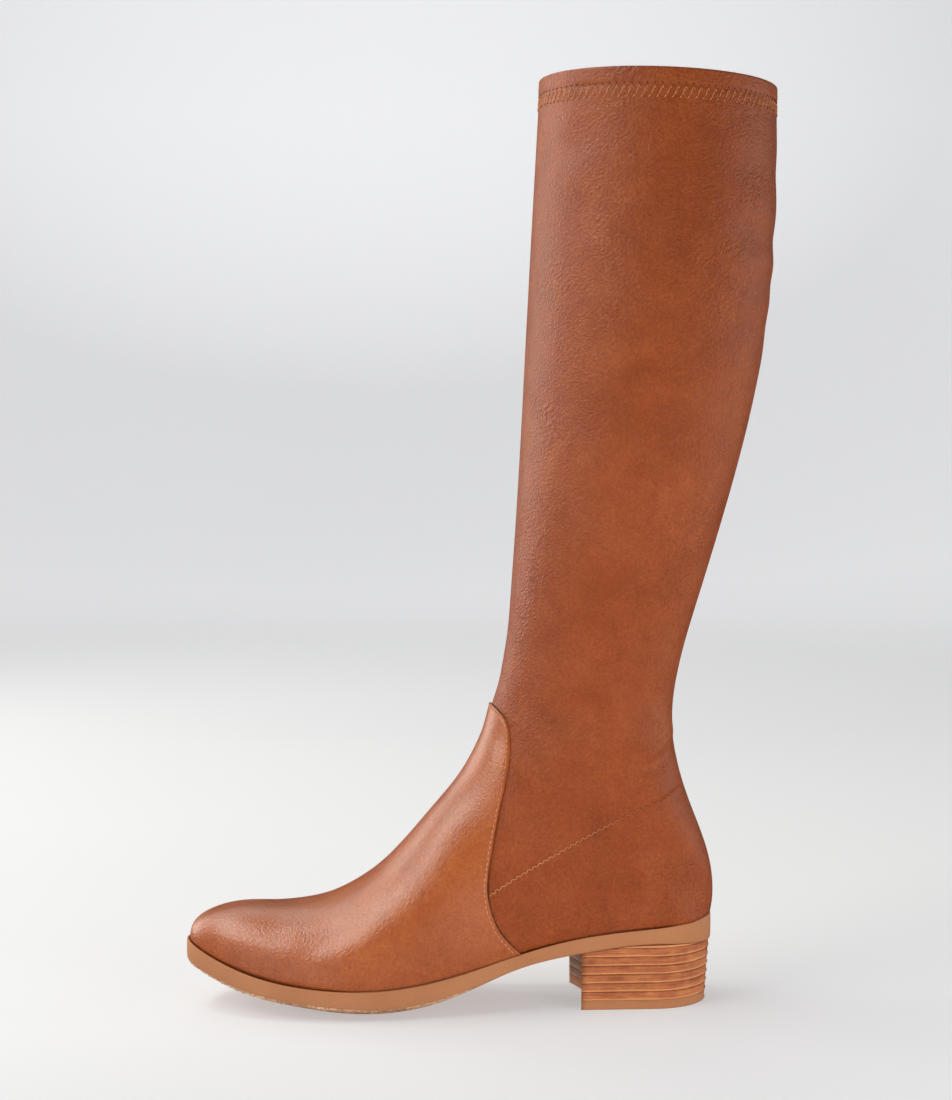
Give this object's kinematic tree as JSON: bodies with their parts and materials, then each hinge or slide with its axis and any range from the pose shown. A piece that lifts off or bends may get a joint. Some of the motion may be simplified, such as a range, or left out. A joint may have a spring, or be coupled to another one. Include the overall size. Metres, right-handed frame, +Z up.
{
  "type": "knee-high boot",
  "caption": "Hollow pull-on knee-high boot for the left foot, with a lapped vamp, a thin cupped outsole and a low stacked block heel",
  "frame": {"origin": "on the floor, under the middle of the boot's box", "axes": "+X toward the toe, +Y toward the wearer's left, which is the outer side of this left boot, +Z up the leg"},
  "size_m": [0.2882, 0.114, 0.45],
  "materials": {
    "leg_leather": "tan stretch leather, smooth with a fine grain and a soft burnished sheen",
    "vamp_leather": "the same tan leather, pulled tight over the toe",
    "sock_leather": "pale tan lining leather, matt",
    "sole_rubber": "tan moulded sole, matt and smooth, with a fine gritty tread",
    "stacked_heel": "stacked heel in brown layers with pale lines between them, satin"
  },
  "bodies": {
    "root": {"upper": "leg_leather", "vamp": "vamp_leather", "insole": "sock_leather", "outsole": "sole_rubber", "top_piece": "sole_rubber", "heel_lift_1": "stacked_heel", "heel_lift_2": "stacked_heel", "heel_lift_3": "stacked_heel", "heel_lift_4": "stacked_heel", "heel_lift_5": "stacked_heel", "heel_lift_6": "stacked_heel"}
  },
  "joints": []
}
